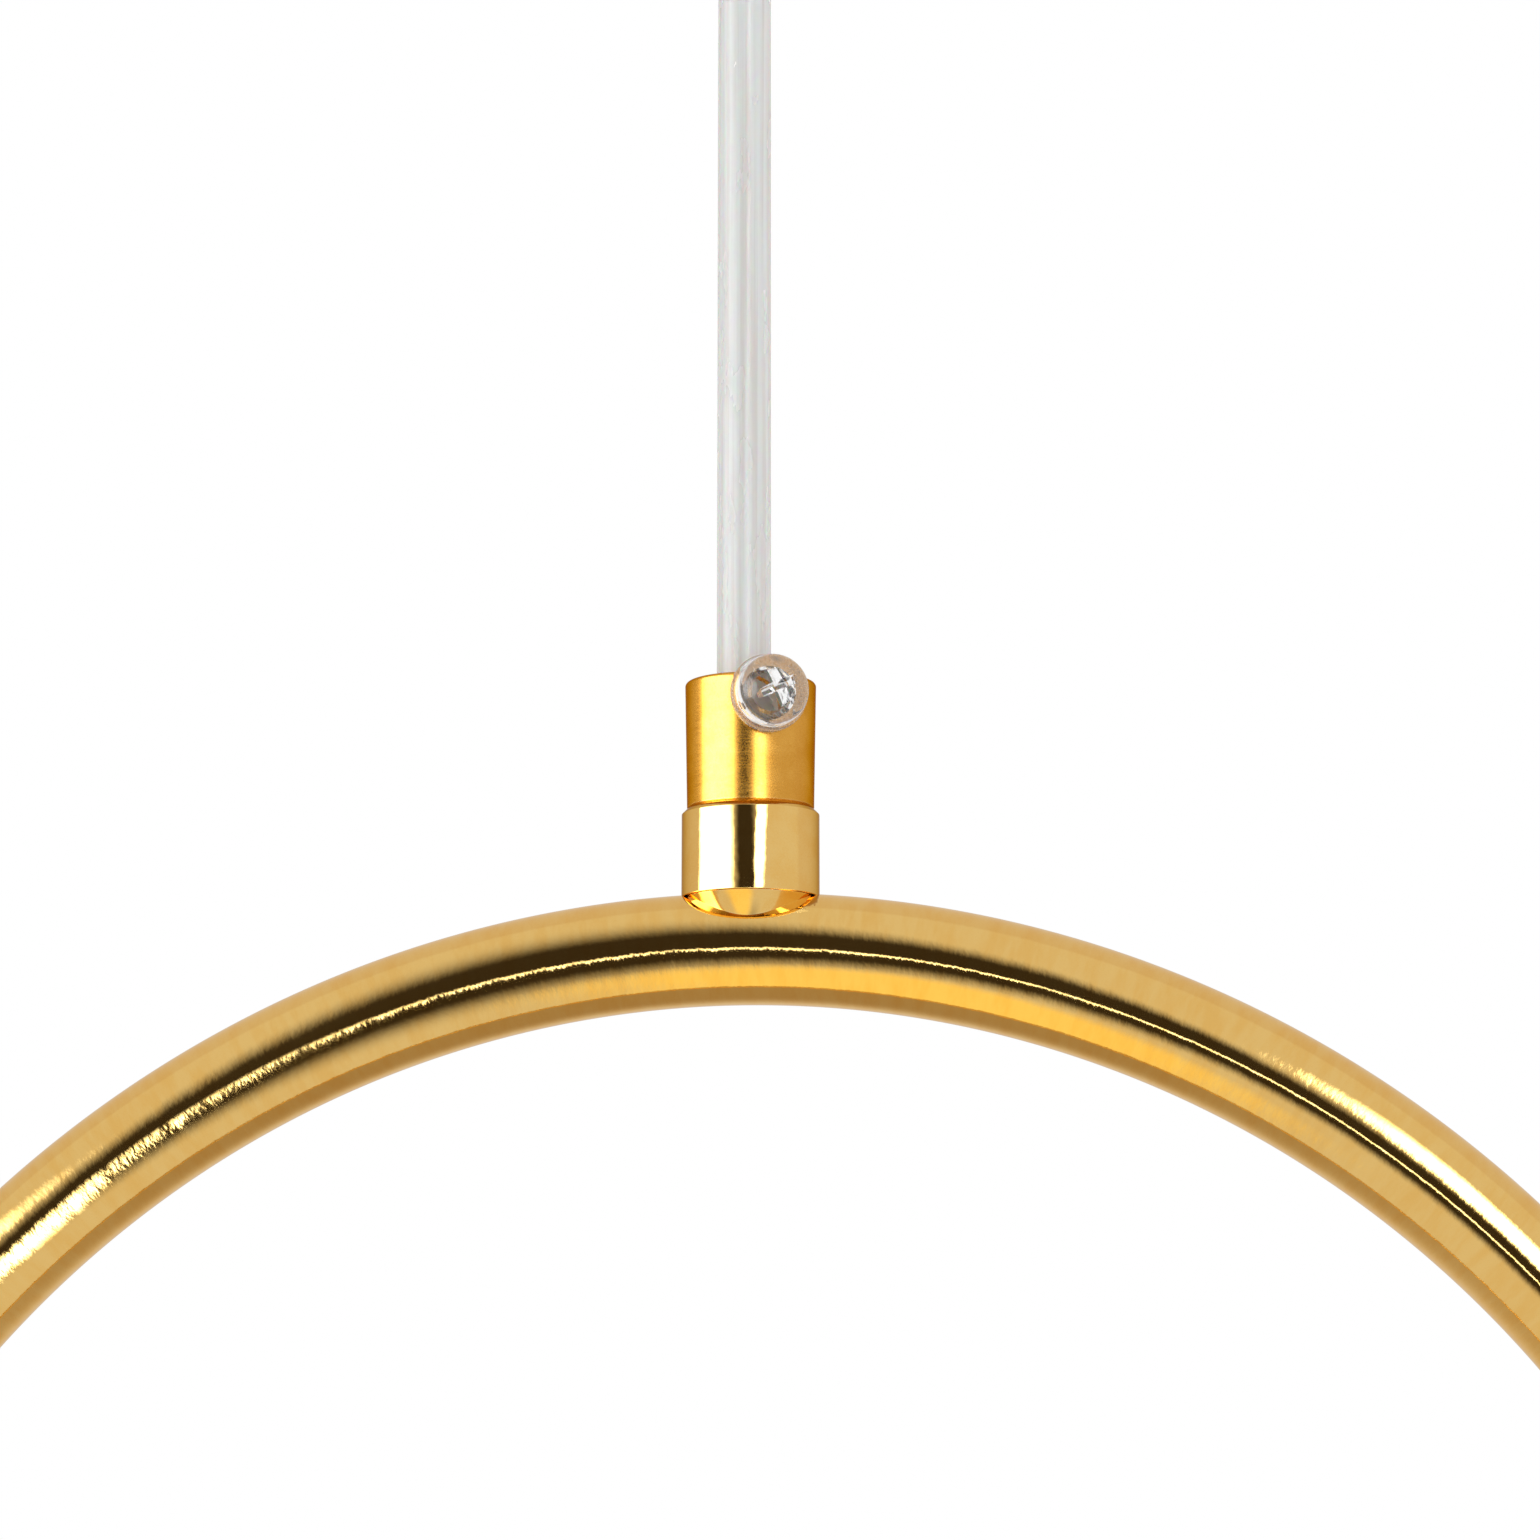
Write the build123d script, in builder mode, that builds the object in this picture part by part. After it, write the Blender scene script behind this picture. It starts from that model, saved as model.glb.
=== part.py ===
from build123d import *
from math import cos, radians, sin
import os

# A tubular hanging ring on a clear round cable. The ring stands in the XZ plane with its
# centre at the origin, and the cable rises along +Z. The front of the ring faces -Y.
# All sizes are in millimetres.

os.makedirs("parts", exist_ok=True)

# ---- Ring -----------------------------------------------------------------------------
ring_outer_d = 250.0
tube_d = 12.7
tube_wall = 1.0
wire_hole_d = 8.0            # lets the cores into the tube, under the collar
sleeve_wall = 0.8            # sleeve inside the butt joint, at the ring's lowest point
sleeve_half_arc = 8.0        # degrees either side of the lowest point

# ---- Collar, brazed on top of the ring ------------------------------------------------
collar_d = 15.6
collar_rise = 9.6            # top face above the ring's highest point
collar_foot_drop = 0.55      # foot below the ring's highest point
collar_chamfer = 0.7
collar_foot_chamfer = 0.15
braze_width = 7.6            # radius of the braze where it meets the foot
braze_toe = 5.5              # radius of the braze where it thins out on the tube
braze_depth = 2.7
braze_round = 14.0           # radius of the hollow between foot and toe

# ---- M10 x 1 joint between collar and grip --------------------------------------------
thread_d = 9.9               # crest of the nipple's thread
thread_bore_d = 10.0         # plain bores that stand for the female threads
thread_pitch = 1.0
thread_depth = 0.55
crest_from = 0.4             # each crest's flat, as shares of the pitch
crest_to = 0.6
nipple_bore_d = 8.0
nipple_turns = 13            # whole ridges on the nipple
nipple_into_grip = 6.0

# ---- Cord grip ------------------------------------------------------------------------
grip_base_d = 14.4
grip_rim_d = 14.9
grip_height = 14.5
grip_thread_length = 6.6      # depth of the threaded bore
cable_bore_d = 8.0
grip_rim_round = 0.45
grip_mouth_round = 0.4
grip_base_chamfer = 0.15

# ---- Clamp screw, M4 x 0.7 clear plastic ----------------------------------------------
screw_below_rim = 2.6
screw_azimuth = 18.0         # degrees from the front towards +X
screw_hole_d = 4.06
screw_d = 4.0
screw_pitch = 0.7
screw_depth = 0.38
screw_tip_d = 2.6
screw_tip_length = 0.5
screw_head_d = 8.1
screw_head_edge = 1.2
screw_dome = 3.0
screw_seat = 8.8             # underside of the head, from the grip's axis
screw_tip_gap = 0.012        # tip to the squeezed cable
cross_length = 4.4
cross_width = 1.15
cross_depth = 2.7
cross_taper = 8.0            # degrees
cross_turn = 25.0            # degrees from upright

# ---- Clamp washer ---------------------------------------------------------------------
washer_d = 8.8
washer_bore_d = 4.1
washer_thickness = 1.1
washer_gap = 0.02            # washer to the grip's side
washer_round = 0.3

# ---- Cable ----------------------------------------------------------------------------
cable_d = 6.2
cable_squeezed_d = 5.86      # where the grip has held it
cable_x = -0.8              # the clamp screw pushes the cable off the grip's axis
cable_y = 0.34
jacket_bore_d = 4.7
jacket_above_rim = 120.0
jacket_below_seat = 1.0      # the jacket ends just inside the collar
jacket_step_above_rim = 0.2  # where the squeezed length ends
jacket_round = 0.15
core_d = 2.3
core_bore_d = 1.14
core_offset = 1.17           # core centre from cable centre
core_lay = 240.0             # height of one full twist
core_above_jacket = 16.0
core_below_ring_top = 0.5
conductor_d = 1.1
conductor_bare = 6.0         # bared length at the top
conductor_bare_below = 2.5

# ---- Heights and radii worked out from the sizes above --------------------------------
ring_r = (ring_outer_d - tube_d) / 2
ring_top = ring_outer_d / 2
collar_foot = ring_top - collar_foot_drop
braze_low = collar_foot - braze_depth
collar_top = ring_top + collar_rise
grip_rim = collar_top + grip_height
nipple_top = collar_top + nipple_into_grip
nipple_low = nipple_top - nipple_turns * thread_pitch
jacket_low = collar_top - jacket_below_seat
jacket_high = grip_rim + jacket_above_rim
jacket_squeezed = grip_rim - jacket_low + jacket_step_above_rim
core_low = ring_top - core_below_ring_top
core_high = jacket_high + core_above_jacket
cable_axis = Axis((cable_x, cable_y, 0), (0, 0, 1))

azimuth = radians(screw_azimuth)
screw_z = grip_rim - screw_below_rim
screw_out = (sin(azimuth), -cos(azimuth), 0)
screw_side = (cos(azimuth), sin(azimuth), 0)
screw_axis = Axis((0, 0, screw_z), screw_out)
screw_plane = Plane(origin=(0, 0, screw_z), x_dir=screw_side, z_dir=screw_out)
screw_section = Plane(origin=(0, 0, screw_z), x_dir=(0, 0, 1), z_dir=screw_side)
grip_side_r = grip_rim_d / 2
cable_back = cable_x * screw_out[0] + cable_y * screw_out[1]
screw_tip = cable_back + cable_squeezed_d / 2 + screw_tip_gap
screw_top = screw_seat + screw_head_edge + screw_dome


def save(piece, label):
    """Name a finished piece and write it to its own STEP file."""
    piece.part.label = label
    export_step(piece.part, f"parts/{label}.step")


def ridges(crest_r, depth, pitch, low, count):
    """Crests and roots of a thread as (radius, height) points, going up."""
    points = []
    for turn in range(count):
        foot = low + turn * pitch
        points.append((crest_r - depth, foot))
        points.append((crest_r, foot + crest_from * pitch))
        points.append((crest_r, foot + crest_to * pitch))
    points.append((crest_r - depth, low + count * pitch))
    return points


# ---- Ring tube ------------------------------------------------------------------------
with BuildPart() as ring_tube:
    with BuildSketch(Plane.XY):
        with Locations((ring_r, 0)):
            Circle(tube_d / 2)
            Circle(tube_d / 2 - tube_wall, mode=Mode.SUBTRACT)
    revolve(axis=Axis.Y)
    with BuildSketch(Plane.XY.offset(ring_r)):
        Circle(wire_hole_d / 2)
    extrude(amount=tube_d, mode=Mode.SUBTRACT)
save(ring_tube, "ring_tube")

# The ring's outside as a solid, to shape what sits on it.
with BuildPart() as ring_outside:
    with BuildSketch(Plane.XY):
        with Locations((ring_r, 0)):
            Circle(tube_d / 2)
    revolve(axis=Axis.Y)

# ---- Sleeve inside the butt joint -----------------------------------------------------
with BuildPart() as ring_sleeve:
    with BuildSketch(Plane.XY.rotated((0, 90 - sleeve_half_arc, 0))):
        with Locations((ring_r, 0)):
            Circle(tube_d / 2 - tube_wall)
            Circle(tube_d / 2 - tube_wall - sleeve_wall, mode=Mode.SUBTRACT)
    revolve(axis=Axis.Y, revolution_arc=2 * sleeve_half_arc)
save(ring_sleeve, "ring_sleeve")

# ---- Collar ---------------------------------------------------------------------------
with BuildPart() as collar:
    with BuildSketch(Plane.XY.offset(collar_foot)):
        Circle(collar_d / 2)
    extrude(amount=collar_top - collar_foot)
    chamfer(collar.edges().sort_by(Axis.Z)[-1], collar_chamfer)
    chamfer(collar.edges().sort_by(Axis.Z)[0], collar_foot_chamfer)
    with BuildSketch(Plane.XY.offset(collar_foot)):
        Circle(thread_bore_d / 2)
    extrude(amount=collar_top - collar_foot, mode=Mode.SUBTRACT)
    add(ring_outside.part, mode=Mode.SUBTRACT)
save(collar, "collar")

# ---- Braze fillets under the collar's foot, front and back ----------------------------
with BuildPart() as collar_braze:
    with BuildSketch(Plane.XZ):
        with BuildLine():
            Line((wire_hole_d / 2, collar_foot), (braze_width, collar_foot))
            RadiusArc((braze_width, collar_foot), (braze_toe, braze_low), -braze_round)
            Polyline((braze_toe, braze_low), (wire_hole_d / 2, braze_low), (wire_hole_d / 2, collar_foot))
        make_face()
    revolve(axis=Axis.Z)
    add(ring_outside.part, mode=Mode.SUBTRACT)
save(collar_braze, "collar_braze")

# ---- Nipple ---------------------------------------------------------------------------
with BuildPart() as nipple:
    with BuildSketch(Plane.XZ):
        with BuildLine():
            outline = ridges(thread_d / 2, thread_depth, thread_pitch, nipple_low, nipple_turns)
            Polyline(*outline)
            bore_r = nipple_bore_d / 2
            Polyline(outline[-1], (bore_r, nipple_top), (bore_r, nipple_low), outline[0])
        make_face()
    revolve(axis=Axis.Z)
save(nipple, "nipple")

# ---- Cord grip ------------------------------------------------------------------------
with BuildPart() as grip_body:
    with BuildSketch(Plane.XZ):
        with BuildLine():
            Polyline(
                (thread_bore_d / 2, collar_top),
                (grip_base_d / 2, collar_top),
                (grip_rim_d / 2, grip_rim),
                (cable_bore_d / 2, grip_rim),
                (cable_bore_d / 2, collar_top + grip_thread_length),
                (thread_bore_d / 2, collar_top + grip_thread_length),
                close=True,
            )
        make_face()
    revolve(axis=Axis.Z)
    rim_edges = grip_body.edges().filter_by(GeomType.CIRCLE).group_by(Axis.Z)[-1].sort_by(SortBy.RADIUS)
    fillet(rim_edges[-1], grip_rim_round)
    fillet(rim_edges[0], grip_mouth_round)
    base_edges = grip_body.edges().filter_by(GeomType.CIRCLE).group_by(Axis.Z)[0].sort_by(SortBy.RADIUS)
    chamfer(base_edges[-1], grip_base_chamfer)
    with BuildSketch(screw_plane):
        Circle(screw_hole_d / 2)
    extrude(amount=grip_rim_d, mode=Mode.SUBTRACT)
save(grip_body, "grip_body")

# ---- Clamp screw ----------------------------------------------------------------------
screw_turns = int((screw_seat - screw_tip - screw_tip_length) / screw_pitch)
thread_start = screw_tip + screw_tip_length
head_edge = screw_seat + screw_head_edge
with BuildPart() as clamp_screw:
    with BuildSketch(screw_section):
        with BuildLine():
            outline = ridges(screw_d / 2, screw_depth, screw_pitch, thread_start, screw_turns)
            Polyline((0, screw_tip), (screw_tip_d / 2, screw_tip), outline[0])
            Polyline(*outline)
            Polyline(outline[-1], (outline[-1][0], screw_seat), (screw_head_d / 2, screw_seat),
                     (screw_head_d / 2, head_edge))
            EllipticalCenterArc((0, head_edge), screw_head_d / 2, screw_dome, arc_size=90)
            Line((0, screw_top), (0, screw_tip))
        make_face()
    revolve(axis=screw_axis)
    with BuildSketch(screw_plane.offset(screw_top)):
        for turn in (cross_turn, cross_turn + 90):
            Rectangle(cross_length, cross_width, rotation=turn)
    extrude(amount=-cross_depth, taper=cross_taper, mode=Mode.SUBTRACT)
save(clamp_screw, "clamp_screw")

# ---- Clamp washer ---------------------------------------------------------------------
with BuildPart() as clamp_washer:
    with BuildSketch(screw_plane.offset(grip_side_r + washer_gap)):
        Circle(washer_d / 2)
        Circle(washer_bore_d / 2, mode=Mode.SUBTRACT)
    extrude(amount=washer_thickness)
    outer_edges = clamp_washer.edges().filter_by(GeomType.CIRCLE).sort_by(SortBy.RADIUS)[-2:]
    fillet(outer_edges, washer_round)
save(clamp_washer, "clamp_washer")

# ---- Cable jacket ---------------------------------------------------------------------
with BuildPart() as cable_jacket:
    with BuildSketch(Plane.XY.offset(jacket_low)):
        with Locations((cable_x, cable_y)):
            Circle(cable_squeezed_d / 2)
    extrude(amount=jacket_squeezed)
    with BuildSketch(Plane.XY.offset(jacket_low + jacket_squeezed)):
        with Locations((cable_x, cable_y)):
            Circle(cable_d / 2)
    extrude(amount=jacket_high - jacket_low - jacket_squeezed)
    end_edges = cable_jacket.edges().filter_by(GeomType.CIRCLE).sort_by(Axis.Z)
    fillet([end_edges[0], end_edges[-1]], jacket_round)
    with BuildSketch(Plane.XY.offset(jacket_low)):
        with Locations((cable_x, cable_y)):
            Circle(jacket_bore_d / 2)
    extrude(amount=jacket_high - jacket_low, mode=Mode.SUBTRACT)
save(cable_jacket, "cable_jacket")


# ---- Cores and conductors, twisted round the cable's middle ---------------------------
def twisted(phase, outer_d, bore_d, low, high):
    """A round strand, or a tube where bore_d isn't 0, that winds slowly up the cable."""
    with BuildPart() as strand:
        with BuildLine(Plane(origin=(cable_x, cable_y, low))) as path:
            Helix(core_lay, high - low, core_offset)
        with BuildSketch(Plane(origin=path.line @ 0, z_dir=path.line % 0)):
            Circle(outer_d / 2)
            if bore_d:
                Circle(bore_d / 2, mode=Mode.SUBTRACT)
        sweep(is_frenet=True)
    with BuildPart() as turned:
        add(strand.part.rotate(cable_axis, phase + 360 * (low - core_low) / core_lay))
    return turned


for letter, phase in (("a", 0), ("b", 180)):
    core = twisted(phase, core_d, core_bore_d, core_low, core_high)
    save(core, f"core_{letter}")
    conductor = twisted(phase, conductor_d, 0, core_low - conductor_bare_below, core_high + conductor_bare)
    save(conductor, f"conductor_{letter}")
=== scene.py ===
import math
from collections import namedtuple

import bpy
import numpy as np
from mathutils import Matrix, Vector


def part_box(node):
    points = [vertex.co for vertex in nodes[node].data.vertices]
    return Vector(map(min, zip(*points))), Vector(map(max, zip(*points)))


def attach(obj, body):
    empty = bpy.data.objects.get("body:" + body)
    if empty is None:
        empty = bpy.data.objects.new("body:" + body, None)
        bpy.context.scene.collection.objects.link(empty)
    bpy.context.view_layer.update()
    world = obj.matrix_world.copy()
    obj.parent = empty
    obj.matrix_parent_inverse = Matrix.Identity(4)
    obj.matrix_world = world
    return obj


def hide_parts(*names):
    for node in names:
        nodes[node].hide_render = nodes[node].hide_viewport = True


# The looks of a gilt hanging ring on a clear cable. Metres, with the ring standing in the
# XZ plane, its centre at the origin and its front facing -Y.

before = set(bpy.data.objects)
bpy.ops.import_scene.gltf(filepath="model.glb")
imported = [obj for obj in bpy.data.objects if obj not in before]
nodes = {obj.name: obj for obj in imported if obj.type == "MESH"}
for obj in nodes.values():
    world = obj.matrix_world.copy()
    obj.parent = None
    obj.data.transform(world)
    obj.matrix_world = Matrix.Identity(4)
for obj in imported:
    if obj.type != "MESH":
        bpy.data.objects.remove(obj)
bpy.context.view_layer.update()

MM = 0.001

# ---- Camera and stage -----------------------------------------------------------------
CAMERA_AT = (0.028, -0.446, 0.0605)
CAMERA_AIM = (0.0022, 0.0, 0.1391)
CAMERA_LENS = 93.5
SENSOR = 36.0
FLOOR_Z = -0.20
FLOOR_R = 1.2
FLOOR_SIDES = 128

# ---- Ring -----------------------------------------------------------------------------
TUBE_WALL = 1.0 * MM
WIRE_HOLE_R = 4.0 * MM
SEGMENTS_ALONG = 720
SEGMENTS_ROUND = 96
HOLE_SIDES = 48

# ---- Collar and braze -----------------------------------------------------------------
COLLAR_BORE_R = 5.0 * MM
COLLAR_CHAMFER = 0.7 * MM
COLLAR_SOFT = 0.12 * MM
BRAZE_TOE_R = 5.5 * MM
BRAZE_DEPTH = 2.7 * MM
BRAZE_HOLLOW = 0.10 * MM
LATHE_SIDES = 240
CROWN_HALF_ARC = 0.12
CROWN_STEPS = 121
CROWN_SIDES = 128

# ---- Stranded conductors --------------------------------------------------------------
STRAND_R = 0.18 * MM
STRAND_RING_R = 0.365 * MM
STRAND_LAY = 14.0 * MM
STRAND_STEP = 0.6 * MM
STRAND_SIDES = 8
STRAND_END_GAP = 0.1 * MM
STRANDS_OUTSIDE = 6
CORE_LAY = 240.0 * MM
CORE_OFFSET = 1.17 * MM

# ---- Colours, linear ------------------------------------------------------------------
GOLD = (0.955, 0.665, 0.235)
GOLD_DEEP = (0.93, 0.60, 0.18)
GOLD_SATIN = (0.85, 0.46, 0.09)
GOLD_SATIN_DEEP = (0.76, 0.38, 0.06)
STEEL = (0.56, 0.54, 0.52)
ZINC = (0.70, 0.71, 0.72)
TIN = (0.80, 0.77, 0.73)


# ---- Node helpers ---------------------------------------------------------------------
class Graph:
    """Short calls for building a node tree."""

    def __init__(self, tree):
        self.tree = tree
        tree.nodes.clear()

    def node(self, kind, **settings):
        made = self.tree.nodes.new(kind)
        for name, value in settings.items():
            setattr(made, name, value)
        return made

    def put(self, node, socket, value):
        if isinstance(value, bpy.types.NodeSocket):
            self.tree.links.new(value, node.inputs[socket])
        else:
            node.inputs[socket].default_value = value

    def math(self, operation, *values, clamp=False):
        made = self.node("ShaderNodeMath", operation=operation, use_clamp=clamp)
        for index, value in enumerate(values):
            self.put(made, index, value)
        return made.outputs[0]

    def ramp(self, value, low, high, out_low=0.0, out_high=1.0, smooth=True):
        """value from low..high to out_low..out_high, eased and clamped."""
        made = self.node("ShaderNodeMapRange")
        made.interpolation_type = "SMOOTHSTEP" if smooth else "LINEAR"
        for socket, item in enumerate((value, low, high, out_low, out_high)):
            self.put(made, socket, item)
        return made.outputs[0]

    def mix(self, share, first, second):
        """A blend of two colours."""
        made = self.node("ShaderNodeMix", data_type="RGBA")
        self.put(made, 0, share)
        self.put(made, 6, first if isinstance(first, bpy.types.NodeSocket) else (*first, 1.0))
        self.put(made, 7, second if isinstance(second, bpy.types.NodeSocket) else (*second, 1.0))
        return made.outputs[2]

    def noise(self, vector, scale, detail=2.0, roughness=0.5, w=None):
        made = self.node("ShaderNodeTexNoise", noise_dimensions="3D" if w is None else "4D")
        self.put(made, "Vector", vector)
        self.put(made, "Scale", scale)
        self.put(made, "Detail", detail)
        self.put(made, "Roughness", roughness)
        if w is not None:
            self.put(made, "W", w)
        return made.outputs[0]

    def scaled(self, vector, scale):
        """vector with each axis multiplied."""
        made = self.node("ShaderNodeVectorMath", operation="MULTIPLY")
        self.put(made, 0, vector)
        self.put(made, 1, scale)
        return made.outputs[0]

    def bump(self, height, metres, normal=None):
        """A normal from a 0..1 height that stands for this many metres."""
        made = self.node("ShaderNodeBump")
        self.put(made, "Strength", 1.0)
        self.put(made, "Distance", metres)
        self.put(made, "Height", height)
        if normal is not None:
            self.put(made, "Normal", normal)
        return made.outputs[0]

    def object_place(self):
        return self.node("ShaderNodeTexCoord").outputs["Object"]


def material(name):
    made = bpy.data.materials.new(name)
    made.use_nodes = True
    return made, Graph(made.node_tree)


def principled(graph, **inputs):
    """A principled surface as the material's shader, with its inputs by their socket names."""
    surface = graph.node("ShaderNodeBsdfPrincipled")
    for name, value in inputs.items():
        socket = name.replace("_", " ")
        if isinstance(value, tuple) and len(value) == 3 and socket != "Normal":
            value = (*value, 1.0)
        graph.put(surface, socket, value)
    finish_material(graph, surface)
    return surface


def finish_material(graph, shader):
    """The shader that the material shows."""
    for node in [node for node in graph.tree.nodes if node.bl_idname == "ShaderNodeOutputMaterial"]:
        graph.tree.nodes.remove(node)
    output = graph.node("ShaderNodeOutputMaterial")
    graph.tree.links.new(shader.outputs[0], output.inputs["Surface"])


# ---- Metals ---------------------------------------------------------------------------
def edge_wear(graph, radius):
    """1 on worn outside edges, 0 on open faces."""
    soft = graph.node("ShaderNodeBevel", samples=4)
    graph.put(soft, "Radius", radius)
    plain = graph.node("ShaderNodeNewGeometry")
    dot = graph.node("ShaderNodeVectorMath", operation="DOT_PRODUCT")
    graph.put(dot, 0, soft.outputs[0])
    graph.put(dot, 1, plain.outputs["Normal"])
    return graph.ramp(dot.outputs["Value"], 0.995, 0.90)


def ring_coordinates(graph, along, across):
    """Noise coordinates that run along the tube and round it without a seam."""
    line = graph.node("ShaderNodeAttribute", attribute_name="tube_line").outputs["Vector"]
    depth = graph.node("ShaderNodeAttribute", attribute_name="tube_depth").outputs["Fac"]
    return graph.scaled(line, (along, along, across)), graph.math("MULTIPLY", depth, across)


def gilt_ring_material():
    made, g = material("gilt_mirror_ring")
    streak_at, streak_w = ring_coordinates(g, 620.0, 170.0)
    ripple_at, ripple_w = ring_coordinates(g, 190.0, 60.0)
    grain_at, grain_w = ring_coordinates(g, 1900.0, 1300.0)
    swell_at, swell_w = ring_coordinates(g, 45.0, 45.0)
    streaks = g.noise(streak_at, 1.0, 4.0, 0.62, streak_w)
    ripples = g.noise(ripple_at, 1.0, 2.0, 0.5, ripple_w)
    grain = g.noise(grain_at, 1.0, 2.0, 0.5, grain_w)
    swell = g.noise(swell_at, 1.0, 1.0, 0.5, swell_w)
    normal = g.bump(swell, 0.05 * MM)
    normal = g.bump(ripples, 0.055 * MM, normal)
    normal = g.bump(streaks, 0.004 * MM, normal)
    normal = g.bump(grain, 0.009 * MM, normal)
    tint = g.ramp(streaks, 0.35, 0.7)
    worn = g.ramp(swell, 0.4, 0.75)
    roughness = g.ramp(g.math("ADD", g.math("MULTIPLY", worn, 0.5), g.math("MULTIPLY", grain, 0.5)),
                       0.1, 0.9, 0.045, 0.085)
    principled(g, Base_Color=g.mix(tint, GOLD, GOLD_DEEP), Metallic=1.0, Roughness=roughness,
               Normal=normal)
    return made


def gilt_material(name, colours, edge, roughness, lathe, swell_height, grain_height, lathe_height):
    """Gold plate over a turned part: lathe lines round it, a soft swell and a fine grain."""
    made, g = material(name)
    place = g.object_place()
    turned = g.noise(g.scaled(place, (lathe / 20, lathe / 20, lathe)), 1.0, 3.0, 0.6)
    swell = g.noise(place, 330.0, 2.0, 0.5)
    grain = g.noise(place, 5200.0, 2.0, 0.6)
    normal = g.bump(swell, swell_height)
    normal = g.bump(turned, lathe_height, normal)
    normal = g.bump(grain, grain_height, normal)
    worn = edge_wear(g, 0.22 * MM)
    tint = g.ramp(g.math("ADD", g.math("MULTIPLY", swell, 0.6), g.math("MULTIPLY", grain, 0.4)), 0.35, 0.65)
    base = g.mix(tint, colours[0], colours[1])
    base = g.mix(g.math("MULTIPLY", worn, 0.35), base, (0.98, 0.80, 0.46))
    low, high = roughness
    rough = g.ramp(g.math("ADD", g.math("MULTIPLY", grain, 0.6), g.math("MULTIPLY", turned, 0.4)),
                   0.3, 0.7, low, high)
    rough = g.math("ADD", rough, g.math("MULTIPLY", worn, 0.05))
    principled(g, Base_Color=base, Specular_Tint=edge, Metallic=1.0, Roughness=rough, Normal=normal)
    return made


def metal_material(name, colour, roughness, stretch, scale, height):
    """Plain metal with drawn or turned lines; stretch says which way they run."""
    made, g = material(name)
    place = g.object_place()
    lines = g.noise(g.scaled(place, stretch), scale, 3.0, 0.6)
    cloud = g.noise(place, 240.0, 3.0, 0.6)
    dark = tuple(0.72 * part for part in colour)
    base = g.mix(g.ramp(cloud, 0.35, 0.7), colour, dark)
    rough = g.ramp(lines, 0.3, 0.7, roughness - 0.06, roughness + 0.08)
    principled(g, Base_Color=base, Metallic=1.0, Roughness=rough, Normal=g.bump(lines, height))
    return made


# ---- Plastics -------------------------------------------------------------------------
def clear_plastic_material():
    made, g = material("clear_moulded")
    place = g.object_place()
    flow = g.noise(place, 420.0, 2.0, 0.5)
    scuff = g.noise(g.scaled(place, (1.0, 1.0, 3.0)), 2400.0, 3.0, 0.6)
    normal = g.bump(scuff, 0.0012 * MM, g.bump(flow, 0.02 * MM))
    rough = g.ramp(scuff, 0.45, 0.75, 0.015, 0.10)
    principled(g, Base_Color=(0.985, 0.985, 0.98), Roughness=rough, IOR=1.49,
               Transmission_Weight=1.0, Normal=normal)
    return made


def washer_plastic_material():
    made, g = material("lilac_moulded")
    place = g.object_place()
    cloud = g.noise(place, 700.0, 3.0, 0.6)
    grain = g.noise(place, 5200.0, 2.0, 0.6)
    base = g.mix(g.ramp(cloud, 0.3, 0.7), (0.985, 0.98, 1.0), (0.95, 0.95, 0.99))
    rough = g.ramp(grain, 0.3, 0.7, 0.06, 0.12)
    principled(g, Base_Color=base, Roughness=rough, IOR=1.45, Transmission_Weight=0.88,
               Normal=g.bump(grain, 0.0008 * MM))
    return made


def clear_soft_material(name, tint, deep, haze, roughness, transmission):
    """Clear soft plastic: long streaks along the cable and a slight haze."""
    made, g = material(name)
    place = g.object_place()
    streaks = g.noise(g.scaled(place, (1.0, 1.0, 0.012)), 1500.0, 3.0, 0.55)
    mottle = g.noise(g.scaled(place, (1.0, 1.0, 0.25)), 420.0, 3.0, 0.5)
    base = g.mix(g.ramp(streaks, 0.35, 0.7), tint, deep)
    rough = g.ramp(mottle, 0.3, 0.7, roughness - 0.05, roughness + 0.05)
    normal = g.bump(streaks, 0.018 * MM, g.bump(mottle, 0.02 * MM))
    principled(g, Base_Color=base, Roughness=rough, IOR=1.45, Transmission_Weight=transmission,
               Subsurface_Weight=haze, Subsurface_Scale=1.5 * MM, Normal=normal)
    return made


# ---- Ring mesh ------------------------------------------------------------------------
def torus(ring_r, tube_r, inward):
    """Points and quads of a torus round Y. inward turns its faces to the inside."""
    along = np.linspace(0.0, 2 * math.pi, SEGMENTS_ALONG, endpoint=False)
    round_ = np.linspace(0.0, 2 * math.pi, SEGMENTS_ROUND, endpoint=False)
    a, b = np.meshgrid(along, round_, indexing="ij")
    reach = ring_r + tube_r * np.cos(b)
    points = np.stack([reach * np.sin(a), tube_r * np.sin(b), reach * np.cos(a)], -1).reshape(-1, 3)
    i, j = np.meshgrid(np.arange(SEGMENTS_ALONG), np.arange(SEGMENTS_ROUND), indexing="ij")
    i_next = (i + 1) % SEGMENTS_ALONG
    j_next = (j + 1) % SEGMENTS_ROUND
    corners = [i * SEGMENTS_ROUND + j, i_next * SEGMENTS_ROUND + j,
               i_next * SEGMENTS_ROUND + j_next, i * SEGMENTS_ROUND + j_next]
    if not inward:
        corners.reverse()
    return points, np.stack(corners, -1).reshape(-1, 4)


def circle(radius, count):
    """Points (x, y) of a closed circle."""
    turn = np.linspace(0.0, 2 * math.pi, count, endpoint=False)
    return np.stack([radius * np.cos(turn), radius * np.sin(turn)], -1)


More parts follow.
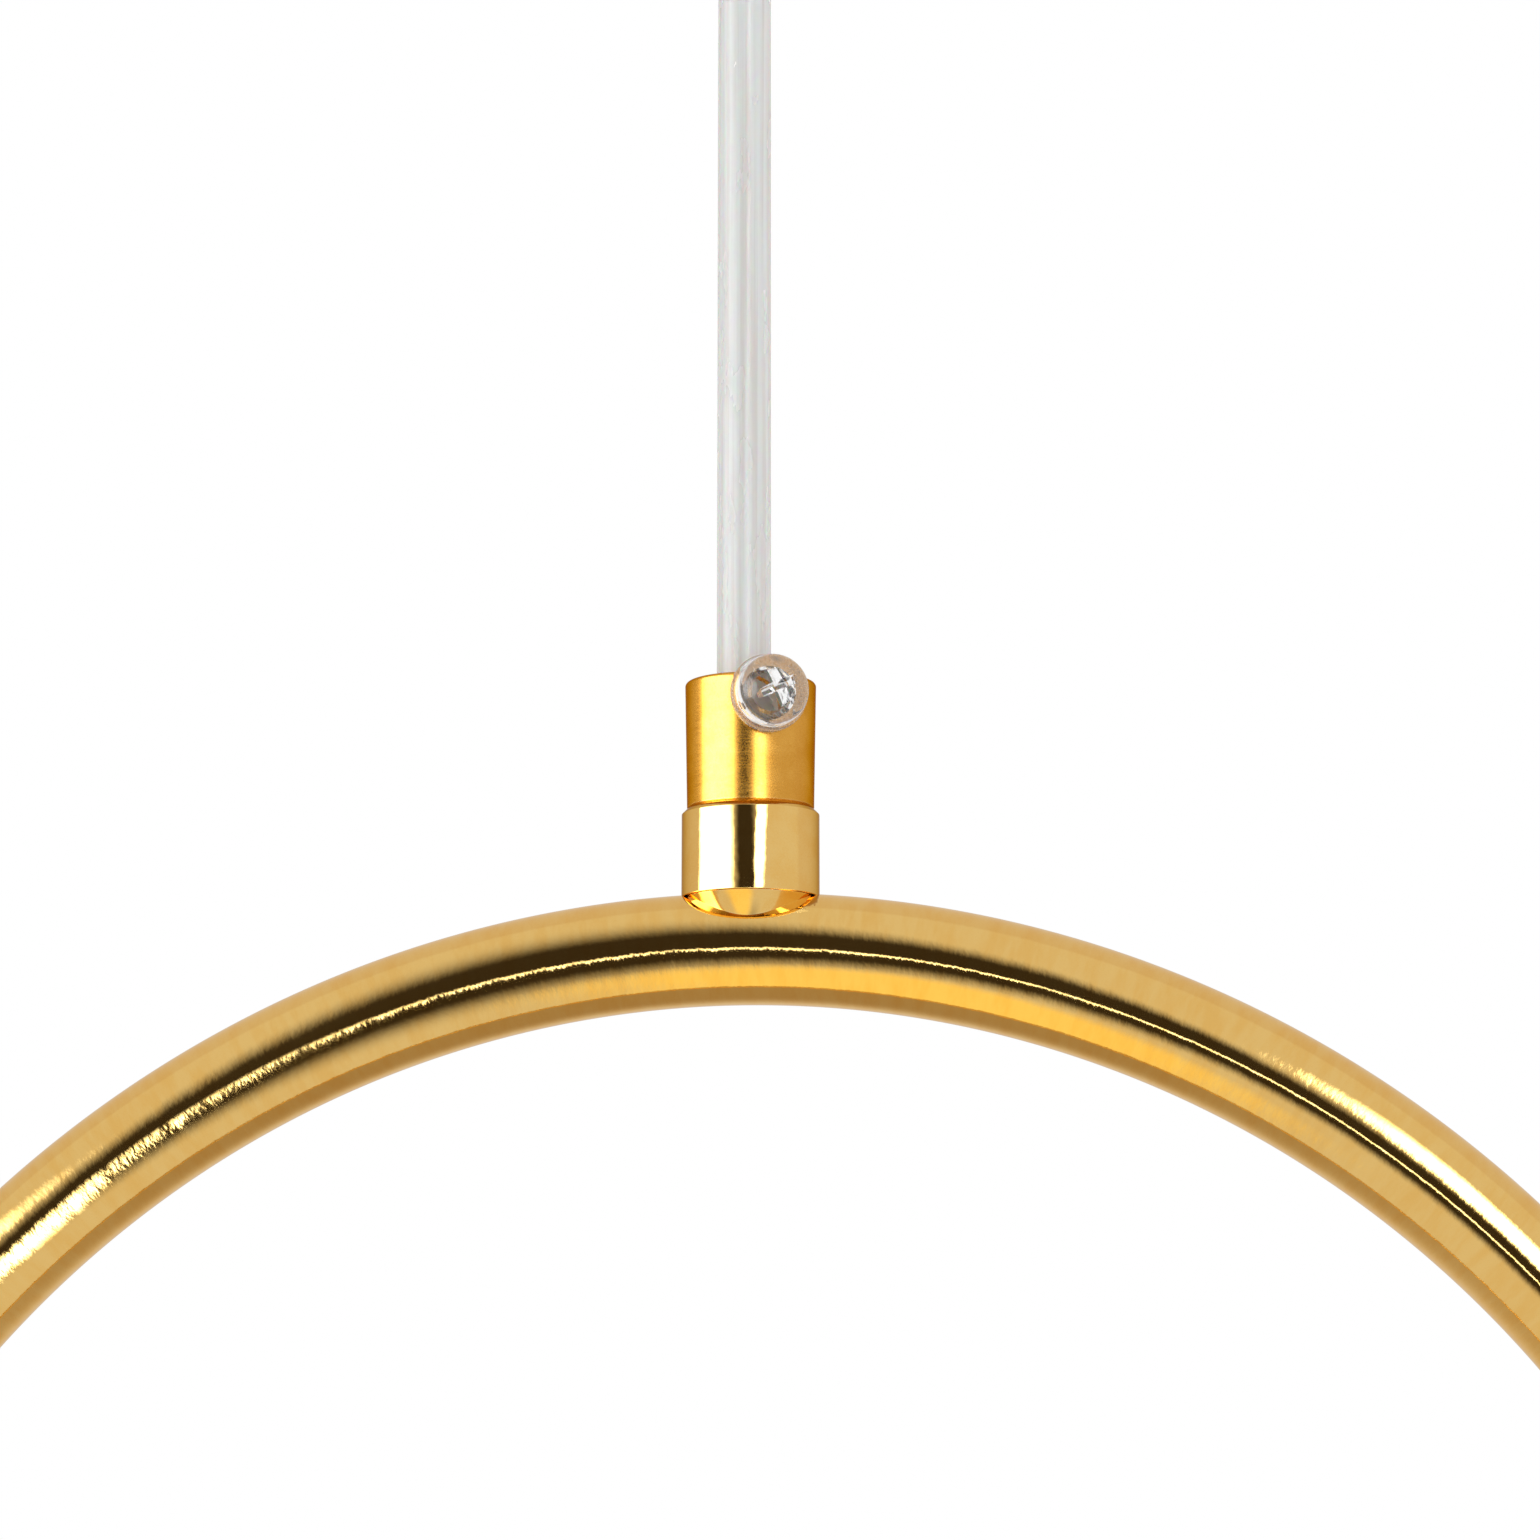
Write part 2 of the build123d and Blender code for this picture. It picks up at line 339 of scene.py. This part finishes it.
def mesh_object(name, points, faces):
    mesh = bpy.data.meshes.new(name)
    mesh.from_pydata(points.tolist(), [], faces if isinstance(faces, list) else faces.tolist())
    mesh.polygons.foreach_set("use_smooth", np.ones(len(mesh.polygons), dtype=bool))
    mesh.update()
    made = bpy.data.objects.new(name, mesh)
    bpy.context.scene.collection.objects.link(made)
    return made


def tube_coordinates(mesh, ring_r):
    """Stores, at each point, the nearest point of the tube's centre line and the offset from it."""
    count = len(mesh.vertices)
    points = np.empty(count * 3)
    mesh.vertices.foreach_get("co", points)
    points = points.reshape(-1, 3)
    reach = np.hypot(points[:, 0], points[:, 2])
    centre = points[:, (0, 2)] / reach[:, None] * ring_r
    line = np.stack([centre[:, 0], centre[:, 1], reach - ring_r], -1)
    mesh.attributes.new("tube_line", "FLOAT_VECTOR", "POINT").data.foreach_set("vector", line.ravel())
    mesh.attributes.new("tube_depth", "FLOAT", "POINT").data.foreach_set("value", points[:, 1].copy())


def ring_sizes():
    """Radius of the ring's centre line and of its tube."""
    low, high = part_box("ring_tube")
    tube_r = (high.y - low.y) / 2
    return high.x - tube_r, tube_r


def build_ring():
    ring_r, tube_r = ring_sizes()
    outside, outside_faces = torus(ring_r, tube_r, False)
    inside, inside_faces = torus(ring_r, tube_r - TUBE_WALL, True)
    points = np.concatenate([outside, inside])
    faces = np.concatenate([outside_faces, inside_faces + len(outside)])
    ring = mesh_object("gilt_ring", points, faces)
    cut_wire_hole(ring, ring_r, tube_r)
    tube_coordinates(ring.data, ring_r)
    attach(ring, "ring")
    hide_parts("ring_tube")
    return ring


def cut_wire_hole(ring, ring_r, tube_r):
    count = HOLE_SIDES
    rim = circle(WIRE_HOLE_R, count)
    foot = np.column_stack([rim, np.full(count, ring_r)])
    head = np.column_stack([rim, np.full(count, ring_r + 2 * tube_r)])
    sides = [[k, (k + 1) % count, count + (k + 1) % count, count + k] for k in range(count)]
    caps = [list(range(count - 1, -1, -1)), list(range(count, 2 * count))]
    cut_away(ring, mesh_object("wire_hole_cutter", np.concatenate([foot, head]), sides + caps))


def cut_away(piece, cutter):
    """Takes the cutter's space out of the piece, for good, and removes the cutter."""
    cut = piece.modifiers.new("cut", "BOOLEAN")
    cut.operation = "DIFFERENCE"
    cut.solver = "EXACT"
    cut.object = cutter
    bpy.context.view_layer.update()
    result = bpy.data.meshes.new_from_object(piece.evaluated_get(bpy.context.evaluated_depsgraph_get()))
    piece.modifiers.clear()
    piece.data = result
    bpy.data.objects.remove(cutter)


# ---- Collar and braze -----------------------------------------------------------------
def ring_crown():
    """The top of the ring's tube as a closed solid, to shape what sits on it."""
    ring_r, tube_r = ring_sizes()
    along = np.linspace(-CROWN_HALF_ARC, CROWN_HALF_ARC, CROWN_STEPS)
    side = np.linspace(0.0, 2 * math.pi, CROWN_SIDES, endpoint=False)
    a, b = np.meshgrid(along, side, indexing="ij")
    reach = ring_r + tube_r * np.cos(b)
    points = np.stack([reach * np.sin(a), tube_r * np.sin(b), reach * np.cos(a)], -1).reshape(-1, 3)
    faces = [list(range(CROWN_SIDES)), list(range(len(points) - 1, len(points) - 1 - CROWN_SIDES, -1))]
    for i in range(CROWN_STEPS - 1):
        for j in range(CROWN_SIDES):
            low_row = i * CROWN_SIDES
            high_row = low_row + CROWN_SIDES
            following = (j + 1) % CROWN_SIDES
            faces.append([low_row + following, low_row + j, high_row + j, high_row + following])
    return mesh_object("ring_crown_cutter", points, faces)


def lathe(name, profile):
    """A solid of revolution round Z from a closed outline of (radius, height) points."""
    outline = np.array(profile)
    count = len(outline)
    turn = np.linspace(0.0, 2 * math.pi, LATHE_SIDES, endpoint=False)
    points = np.stack([np.outer(np.cos(turn), outline[:, 0]), np.outer(np.sin(turn), outline[:, 0]),
                       np.tile(outline[:, 1], (LATHE_SIDES, 1))], -1).reshape(-1, 3)
    faces = []
    for i in range(LATHE_SIDES):
        row = i * count
        following = (i + 1) % LATHE_SIDES * count
        for j in range(count):
            k = (j + 1) % count
            faces.append([row + j, following + j, following + k, row + k])
    return mesh_object(name, points, faces)


def arc(centre, radius, start, end, steps=6):
    """Points (radius, height) along an arc, angles in degrees from outwards to up."""
    turn = np.radians(np.linspace(start, end, steps))
    return [(centre[0] + radius * math.cos(t), centre[1] + radius * math.sin(t)) for t in turn]


def sharpen(piece, degrees):
    """Smooth faces, with creases kept where faces meet at more than this angle."""
    piece.data.polygons.foreach_set("use_smooth", np.ones(len(piece.data.polygons), dtype=bool))
    piece.data.set_sharp_from_angle(angle=math.radians(degrees))


def build_collar():
    low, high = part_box("collar")
    outer = high.x
    slope = COLLAR_CHAMFER
    profile = [(COLLAR_BORE_R, low.z)]
    profile += arc((outer - COLLAR_SOFT, low.z + COLLAR_SOFT), COLLAR_SOFT, -90, 0)
    profile += arc((outer - COLLAR_SOFT, high.z - slope - 0.4 * COLLAR_SOFT), COLLAR_SOFT, 0, 45)
    profile += arc((outer - slope - 0.4 * COLLAR_SOFT, high.z - COLLAR_SOFT), COLLAR_SOFT, 45, 90)
    profile += [(COLLAR_BORE_R, high.z)]
    collar = lathe("gilt_collar", profile)
    cut_away(collar, ring_crown())
    sharpen(collar, 35)
    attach(collar, "ring")
    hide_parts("collar")
    return collar


def build_braze():
    """A hollow fillet of braze between the collar's foot and the tube."""
    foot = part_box("collar")[0].z
    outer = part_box("collar_braze")[1].x
    profile = [(WIRE_HOLE_R, foot - BRAZE_DEPTH)]
    for share in np.linspace(1.0, 0.0, 12):
        sag = BRAZE_HOLLOW * 4 * share * (1 - share)
        reach = outer - (outer - BRAZE_TOE_R) * share - 0.8 * sag
        profile.append((reach, foot - BRAZE_DEPTH * share + 0.6 * sag))
    profile.append((WIRE_HOLE_R, foot))
    braze = lathe("gilt_braze", profile)
    cut_away(braze, ring_crown())
    sharpen(braze, 35)
    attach(braze, "ring")
    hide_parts("collar_braze")
    return braze


# ---- Stranded conductors --------------------------------------------------------------
def strand_points(path, radius, phase):
    """Rings of points round one strand, laid round the conductor's own path."""
    height = path[:, 2] - path[0, 2]
    turn = 2 * math.pi * height / STRAND_LAY + phase
    centre = path + np.stack([radius * np.cos(turn), radius * np.sin(turn), 0 * turn], -1)
    side = np.linspace(0.0, 2 * math.pi, STRAND_SIDES, endpoint=False)
    ring = STRAND_R * np.stack([np.cos(side), np.sin(side), 0 * side], -1)
    return (centre[:, None, :] + ring[None, :, :]).reshape(-1, 3)


def strand_faces(count, start):
    faces = []
    for level in range(count - 1):
        for side in range(STRAND_SIDES):
            following = (side + 1) % STRAND_SIDES
            low = start + level * STRAND_SIDES
            faces.append([low + side, low + following, low + STRAND_SIDES + following,
                          low + STRAND_SIDES + side])
    top = start + (count - 1) * STRAND_SIDES
    faces.append([start + side for side in reversed(range(STRAND_SIDES))])
    faces.append([top + side for side in range(STRAND_SIDES)])
    return faces


def build_conductor(node, name, phase):
    """Tinned strands, one in the middle and the rest round it, in place of one round conductor."""
    low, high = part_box(node)
    jacket_low, jacket_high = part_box("cable_jacket")
    core_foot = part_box("core_a")[0].z
    middle = (jacket_low + jacket_high) / 2
    count = int((high.z - low.z - 2 * STRAND_END_GAP) / STRAND_STEP)
    heights = np.linspace(low.z + STRAND_END_GAP, high.z - STRAND_END_GAP, count)
    turn = 2 * math.pi * (heights - core_foot) / CORE_LAY + phase
    path = np.stack([middle.x + CORE_OFFSET * np.cos(turn),
                     middle.y + CORE_OFFSET * np.sin(turn), heights], -1)
    points = [strand_points(path, 0.0, 0.0)]
    faces = strand_faces(count, 0)
    for strand in range(STRANDS_OUTSIDE):
        points.append(strand_points(path, STRAND_RING_R, strand * 2 * math.pi / STRANDS_OUTSIDE))
        faces += strand_faces(count, (strand + 1) * count * STRAND_SIDES)
    made = mesh_object(name, np.concatenate(points), faces)
    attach(made, "cable")
    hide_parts(node)
    return made


# ---- Stage ----------------------------------------------------------------------------
def build_floor():
    """A pale disc, seen from above only, so that it never hides the ring from below."""
    rim = circle(FLOOR_R, FLOOR_SIDES)
    face = [list(range(FLOOR_SIDES))]
    floor = mesh_object("floor", np.column_stack([rim, np.full(FLOOR_SIDES, FLOOR_Z)]), face)
    floor.data.polygons.foreach_set("use_smooth", [False])
    made, g = material("pale_floor")
    speck = g.noise(g.object_place(), 60.0, 3.0, 0.5)
    surface = principled(g, Base_Color=g.mix(speck, (0.86, 0.86, 0.855), (0.83, 0.83, 0.825)), Roughness=0.7)
    side = g.node("ShaderNodeNewGeometry")
    clear = g.node("ShaderNodeBsdfTransparent")
    shown = g.node("ShaderNodeMixShader")
    for socket, item in ((0, side.outputs["Backfacing"]), (1, surface.outputs[0]), (2, clear.outputs[0])):
        g.tree.links.new(item, shown.inputs[socket])
    finish_material(g, shown)
    floor.data.materials.append(made)
    floor.visible_glossy = False
    floor.visible_transmission = False


def build_camera():
    camera = bpy.data.objects.new("camera", bpy.data.cameras.new("camera"))
    camera.data.lens = CAMERA_LENS
    camera.data.sensor_width = SENSOR
    camera.data.clip_start = 0.01
    camera.location = CAMERA_AT
    aim = Vector(CAMERA_AIM) - Vector(CAMERA_AT)
    camera.rotation_euler = aim.to_track_quat("-Z", "Y").to_euler()
    bpy.context.scene.collection.objects.link(camera)
    bpy.context.scene.camera = camera


# ---- Studio ---------------------------------------------------------------------------
# Pale walls all round, a dark room behind the camera, three softboxes, a warm table and a dark
# floor behind the ring. Each panel is a soft ellipse on the world. Its middle and half sizes are
# the sideways and upward parts of a unit direction, its turn is in degrees, its colour is linear.
Panel = namedtuple("Panel", "middle half turn soft colour")

SOFTBOX = (6.0, 6.0, 6.0)
DARK_ROOM = (0.04, 0.03, 0.02)
WARM_TABLE = (1.1, 0.9, 0.4)
DARK_FLOOR = (0.40, 0.30, 0.20)
FRONT_WALL = (0.75, 0.70, 0.65)
BACK_WALL = (0.70, 0.62, 0.55)
FRONT_PANELS = (
    Panel(middle=(-0.05, 0.0), half=(0.28, 0.70), turn=-15, soft=0.4, colour=DARK_ROOM),
    Panel(middle=(-0.75, 0.05), half=(0.30, 0.40), turn=0, soft=0.3, colour=SOFTBOX),
    Panel(middle=(0.35, 0.20), half=(0.13, 0.35), turn=15, soft=0.3, colour=SOFTBOX),
    Panel(middle=(0.12, -0.32), half=(0.03, 0.27), turn=-40, soft=0.5, colour=SOFTBOX),
    Panel(middle=(-0.20, -0.90), half=(0.25, 0.25), turn=20, soft=0.4, colour=WARM_TABLE),
)
BACK_PANELS = (
    Panel(middle=(0.0, -0.90), half=(1.0, 0.30), turn=0, soft=0.8, colour=DARK_FLOOR),
)


def panel_share(graph, flat, panel):
    """How much of a panel is seen in this direction, 0 to 1."""
    place = graph.node("ShaderNodeMapping", vector_type="TEXTURE")
    graph.put(place, "Vector", flat)
    graph.put(place, "Location", (panel.middle[0], 0.0, panel.middle[1]))
    graph.put(place, "Rotation", (0.0, math.radians(panel.turn), 0.0))
    graph.put(place, "Scale", (panel.half[0], 1.0, panel.half[1]))
    length = graph.node("ShaderNodeVectorMath", operation="LENGTH")
    graph.put(length, 0, place.outputs[0])
    return graph.ramp(length.outputs["Value"], 1.0 + panel.soft, 1.0 - panel.soft)


def hung_with(graph, flat, wall, panels):
    """The wall's colour with its panels in front of it."""
    colour = wall
    for panel in panels:
        colour = graph.mix(panel_share(graph, flat, panel), colour, panel.colour)
    return colour


def build_studio():
    """White to the eye and through clear parts. Reflections see the studio."""
    world = bpy.data.worlds.new("studio")
    bpy.context.scene.world = world
    world.use_nodes = True
    g = Graph(world.node_tree)
    direction = g.node("ShaderNodeTexCoord").outputs["Generated"]
    flat = g.scaled(direction, (1.0, 0.0, 1.0))
    split = g.node("ShaderNodeSeparateXYZ")
    g.put(split, 0, direction)
    front = hung_with(g, flat, FRONT_WALL, FRONT_PANELS)
    back = hung_with(g, flat, BACK_WALL, BACK_PANELS)
    studio = g.mix(g.ramp(split.outputs["Y"], -0.06, 0.06), front, back)
    rays = g.node("ShaderNodeLightPath")
    mirrored = g.math("MULTIPLY", rays.outputs["Is Glossy Ray"], rays.outputs["Is Reflection Ray"])
    colour = g.mix(mirrored, (1.0, 1.0, 1.0), studio)
    background = g.node("ShaderNodeBackground")
    g.put(background, "Color", colour)
    g.put(background, "Strength", 1.0)
    output = g.node("ShaderNodeOutputWorld")
    g.tree.links.new(background.outputs[0], output.inputs["Surface"])


# ---- Finishes -------------------------------------------------------------------------
def finish_nodes():
    satin = gilt_material("gilt_satin", (GOLD_SATIN, GOLD_SATIN_DEEP), (0.45, 0.25, 0.10), (0.22, 0.32),
                          3000.0, 0.02 * MM, 0.0010 * MM, 0.0003 * MM)
    jacket = clear_soft_material("clear_jacket", (1.0, 0.97, 0.955), (0.86, 0.80, 0.78),
                                 0.60, 0.24, 0.25)
    core = clear_soft_material("clear_core", (1.0, 0.98, 0.965), (0.92, 0.885, 0.87),
                               0.60, 0.35, 0.10)
    finishes = {
        "grip_body": satin,
        "ring_sleeve": metal_material("drawn_steel", STEEL, 0.30, (0.05, 1.0, 1.0), 2600.0, 0.003 * MM),
        "nipple": metal_material("bright_zinc", ZINC, 0.22, (0.1, 0.1, 1.0), 3000.0, 0.002 * MM),
        "clamp_screw": clear_plastic_material(),
        "clamp_washer": washer_plastic_material(),
        "cable_jacket": jacket,
        "core_a": core,
        "core_b": core,
    }
    for node, made in finishes.items():
        for place in nodes[node].material_slots:
            place.material = made


def build_fitting():
    mirror = gilt_material("gilt_mirror", (GOLD, GOLD_DEEP), (0.55, 0.42, 0.30), (0.03, 0.08),
                           4000.0, 0.045 * MM, 0.0005 * MM, 0.0006 * MM)
    build_collar().data.materials.append(mirror)
    build_braze().data.materials.append(mirror)


def build_conductors():
    tinned = metal_material("tinned_copper", TIN, 0.24, (1.0, 1.0, 0.1), 4000.0, 0.002 * MM)
    for letter, phase in (("a", 0.0), ("b", math.pi)):
        made = build_conductor(f"conductor_{letter}", f"stranded_conductor_{letter}", phase)
        made.data.materials.append(tinned)


build_ring().data.materials.append(gilt_ring_material())
build_fitting()
build_conductors()
finish_nodes()
build_floor()
build_camera()
build_studio()
bpy.context.scene.view_settings.view_transform = "Standard"
bpy.context.view_layer.update()
